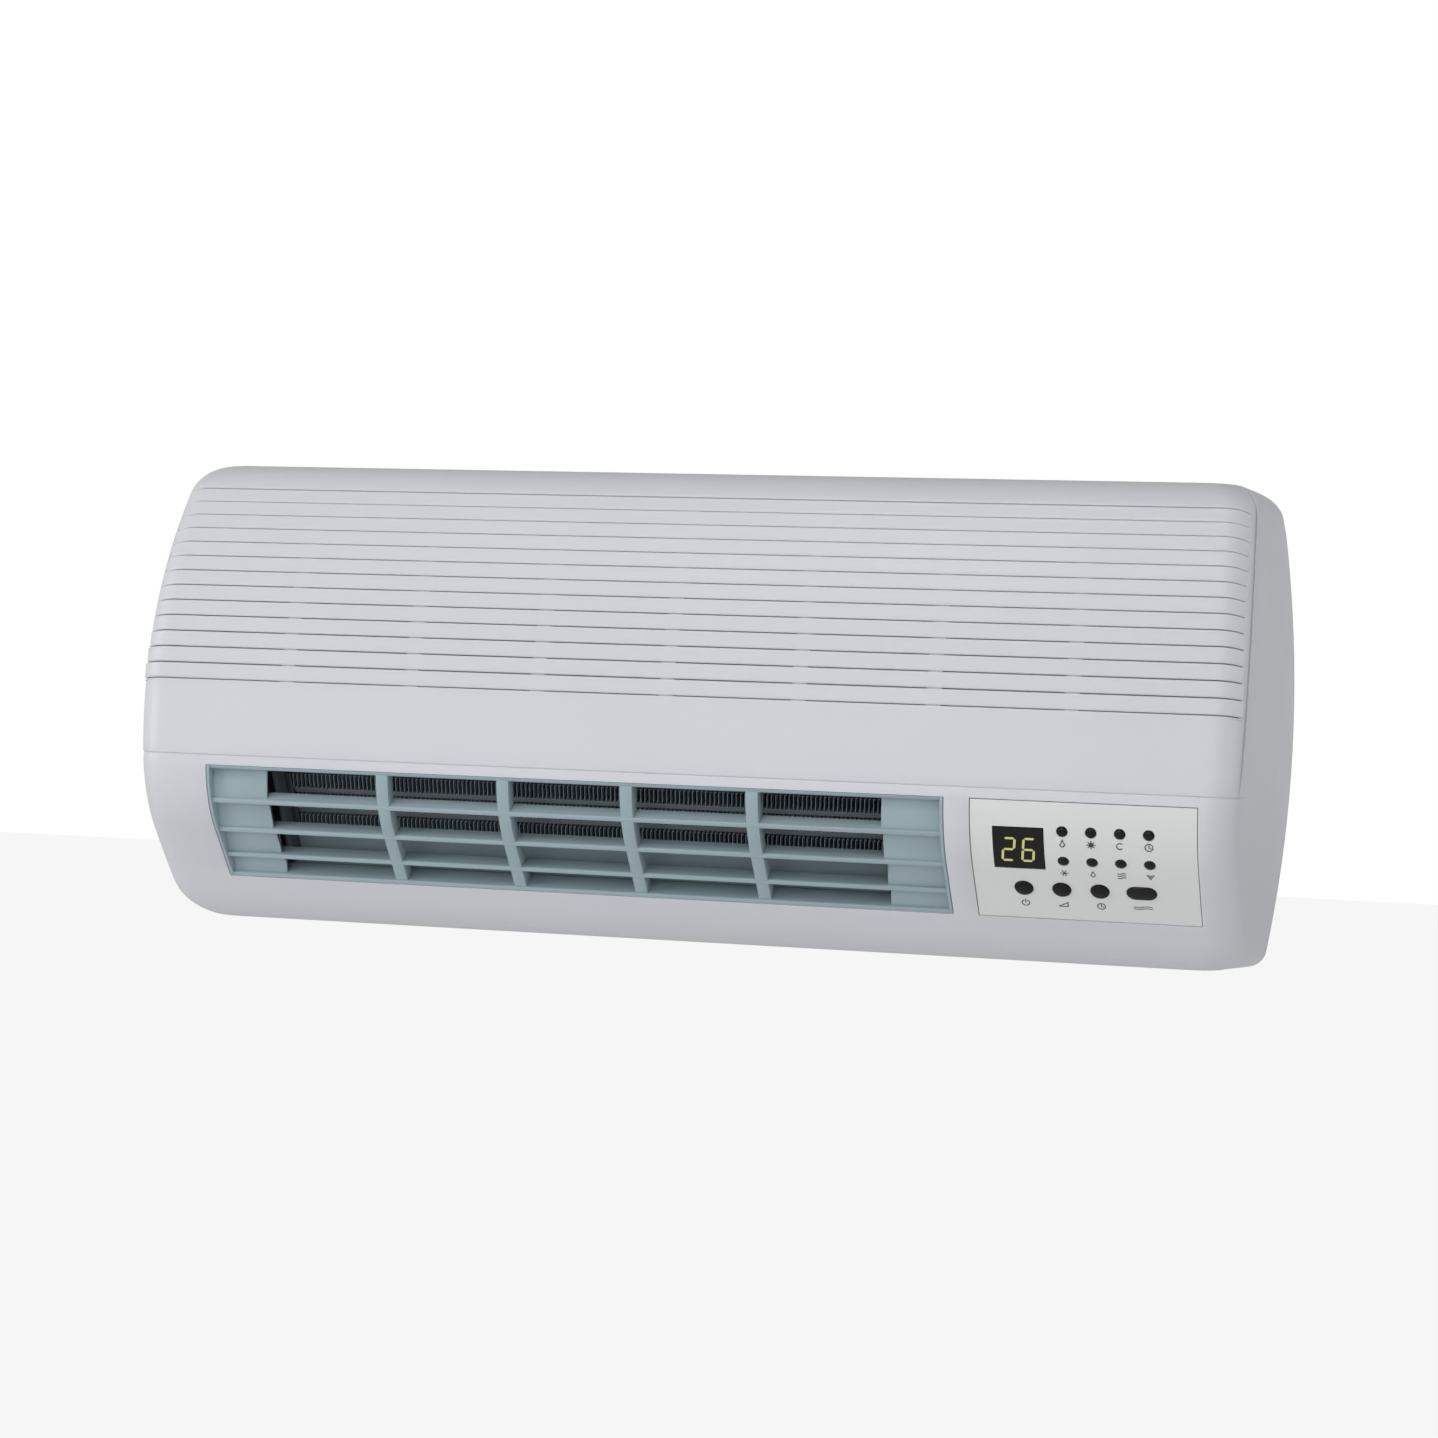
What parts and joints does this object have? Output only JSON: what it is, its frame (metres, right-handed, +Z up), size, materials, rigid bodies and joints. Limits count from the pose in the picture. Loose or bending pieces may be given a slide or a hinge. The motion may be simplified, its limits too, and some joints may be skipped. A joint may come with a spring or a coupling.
{
  "type": "wall fan heater",
  "caption": "Long wall-mounted fan heater with a curved slotted front, a sloping outlet grille and a small control panel with a display and round keys.",
  "frame": {"origin": "middle of the back face, on the wall plane", "axes": "+X to the viewer's right along the length, +Y into the wall, +Z up; the front looks along -Y"},
  "size_m": [0.5998, 0.128, 0.244],
  "materials": {
    "white_shell": "satin",
    "grille_blue_grey": "satin",
    "fascia_grey": "satin",
    "gloss_black": "gloss",
    "dark_plastic": "matt",
    "duct_grey": "matt",
    "zinc_steel": "zinc plated",
    "aluminium": "plain",
    "bronze": "oil-filled sintered",
    "board_green": "solder mask",
    "rubber": "matt",
    "nylon": "matt",
    "fan_grey": "matt"
  },
  "bodies": {
    "housing": {"front_housing": "white_shell", "intake_panel": "white_shell", "rear_housing": "white_shell", "outlet_grille": "grille_blue_grey", "control_fascia": "fascia_grey", "display_lens": "gloss_black", "receiver_window": "gloss_black", "control_board": "board_green", "display_module": "dark_plastic", "power_switch": "dark_plastic", "heat_switch": "dark_plastic", "timer_switch": "dark_plastic", "infrared_receiver": "dark_plastic", "cable_grommet": "rubber", "rubber_bush": "rubber", "sleeve_bearing": "bronze", "bearing_cover": "nylon", "duct_end_left": "duct_grey", "duct_end_right": "duct_grey", "scroll_casing": "duct_grey", "duct_tongue": "duct_grey", "motor_stator": "zinc_steel", "motor_bracket": "zinc_steel", "motor_cap_left": "aluminium", "motor_cap_right": "aluminium", "fin_row_1": "aluminium", "fin_row_2": "aluminium", "fin_row_3": "aluminium", "heating_tube_1": "aluminium", "heating_tube_2": "aluminium", "heater_end_left": "dark_plastic", "heater_end_right": "dark_plastic", "heater_rail_upper": "dark_plastic", "heater_rail_lower": "duct_grey", "thermal_cutout": "dark_plastic", "thermal_fuse": "zinc_steel", "power_board": "board_green", "relay_1": "gloss_black", "relay_2": "gloss_black", "transformer": "zinc_steel", "terminal_block": "nylon", "smoothing_capacitor": "dark_plastic", "indicator_light_1": "gloss_black", "indicator_light_2": "gloss_black", "indicator_light_3": "gloss_black", "indicator_light_4": "gloss_black", "indicator_light_5": "gloss_black", "indicator_light_6": "gloss_black", "indicator_light_7": "gloss_black", "indicator_light_8": "gloss_black", "housing_screw_1": "zinc_steel", "housing_screw_2": "zinc_steel", "housing_screw_3": "zinc_steel"},
    "fan": {"fan_impeller": "fan_grey", "motor_rotor": "zinc_steel", "motor_shaft": "zinc_steel", "bearing_pin": "zinc_steel"},
    "power_key": {"power_button": "gloss_black"},
    "heat_key": {"heat_button": "gloss_black"},
    "timer_key": {"timer_button": "gloss_black"}
  },
  "joints": [
    {"name": "fan_spin", "type": "hinge", "parent": "housing", "child": "fan", "pos_m": [0, -0.05595, -0.00793], "axis": [1, 0, 0], "continuous": true},
    {"name": "power_press", "type": "slide", "parent": "housing", "child": "power_key", "axis": [0, 0.7431, 0.6691], "range_m": [0, 0.0008], "stiffness_N_per_m": 900, "springref_m": -0.0006},
    {"name": "heat_press", "type": "slide", "parent": "housing", "child": "heat_key", "axis": [0, 0.7431, 0.6691], "range_m": [0, 0.0008], "stiffness_N_per_m": 900, "springref_m": -0.0006},
    {"name": "timer_press", "type": "slide", "parent": "housing", "child": "timer_key", "axis": [0, 0.7431, 0.6691], "range_m": [0, 0.0008], "stiffness_N_per_m": 900, "springref_m": -0.0006}
  ]
}
